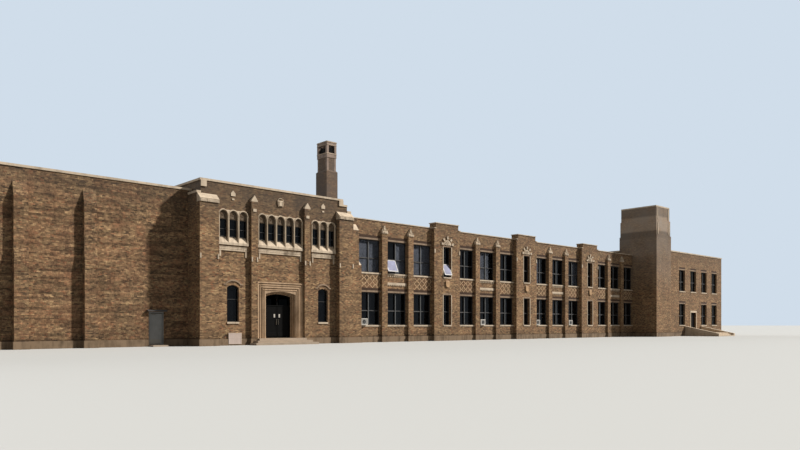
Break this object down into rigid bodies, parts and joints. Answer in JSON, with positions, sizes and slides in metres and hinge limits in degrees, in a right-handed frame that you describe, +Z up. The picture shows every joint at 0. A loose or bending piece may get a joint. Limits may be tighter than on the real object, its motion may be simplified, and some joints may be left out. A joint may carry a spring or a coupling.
{
  "type": "school building, scale model at 1:10",
  "caption": "Brick school building at one tenth scale: blank hall with buttresses, entrance block with arched windows, long classroom wing, tower, pavilion and chimney.",
  "frame": {"origin": "on the ground, at the middle of the plan's bounding box", "axes": "+X along the street front to the right as seen from the street, +Y inwards from the street, +Z up"},
  "size_m": [9.669, 2.875, 2.08],
  "materials": {
    "brick": "matte tan brown face brick",
    "limestone": "pale cut stone, weathered",
    "concrete": "plain cast concrete",
    "roofing": "grey gravel roofing",
    "bronze_metal": "dark bronze paint",
    "grey_metal": "light grey paint",
    "cream_metal": "cream paint",
    "window_glass": "dark reflective glazing"
  },
  "bodies": {
    "building": {"ground_floor": "concrete", "hall_floor": "concrete", "upper_floor": "concrete", "roof_decks": "roofing", "plinths": "limestone", "copings": "limestone", "hall_front_wall": "brick", "hall_wall_beside_door": "brick", "hall_wall_over_door": "brick", "hall_end_wall": "brick", "hall_buttresses": "brick", "hall_door_frame": "grey_metal", "hall_door_canopy": "bronze_metal", "party_wall": "brick", "block_wall_left": "brick", "block_wall_right": "brick", "block_wall_over_door": "brick", "roof_side_walls": "brick", "corner_piers": "brick", "pilasters": "brick", "portal_surround": "limestone", "main_door_frame": "bronze_metal", "entrance_steps": "concrete", "arched_windows": "limestone", "arcade_sills": "limestone", "pier_caps": "limestone", "window_sills": "limestone", "window_heads": "limestone", "window_frames": "bronze_metal", "window_glass": "window_glass", "chimney_shaft": "brick", "chimney_lantern": "limestone", "wing_wall": "brick", "wing_piers": "brick", "narrow_bays": "brick", "stone_ornament": "limestone", "open_sashes": "bronze_metal", "air_conditioners": "cream_metal", "rear_wall": "brick", "tower": "brick", "pavilion_stonework": "limestone", "pavilion_front_wall": "brick", "pavilion_end_wall": "brick", "pavilion_door": "bronze_metal", "pavilion_steps": "limestone"},
    "left_leaf": {"left_door_leaf": "bronze_metal"},
    "right_leaf": {"right_door_leaf": "bronze_metal"},
    "side_door": {"hall_door": "grey_metal"}
  },
  "joints": [
    {"name": "left_leaf_hinge", "type": "hinge", "parent": "building", "child": "left_leaf", "pos_m": [-2.1165, -0.7205, 0.1], "axis": [0, 0, -1], "range_deg": [0, 90]},
    {"name": "right_leaf_hinge", "type": "hinge", "parent": "building", "child": "right_leaf", "pos_m": [-1.9245, -0.7205, 0.1], "axis": [0, 0, 1], "range_deg": [0, 90]},
    {"name": "side_door_hinge", "type": "hinge", "parent": "building", "child": "side_door", "pos_m": [-2.9045, -0.627, 0.1], "axis": [0, 0, -1], "range_deg": [0, 95]}
  ]
}
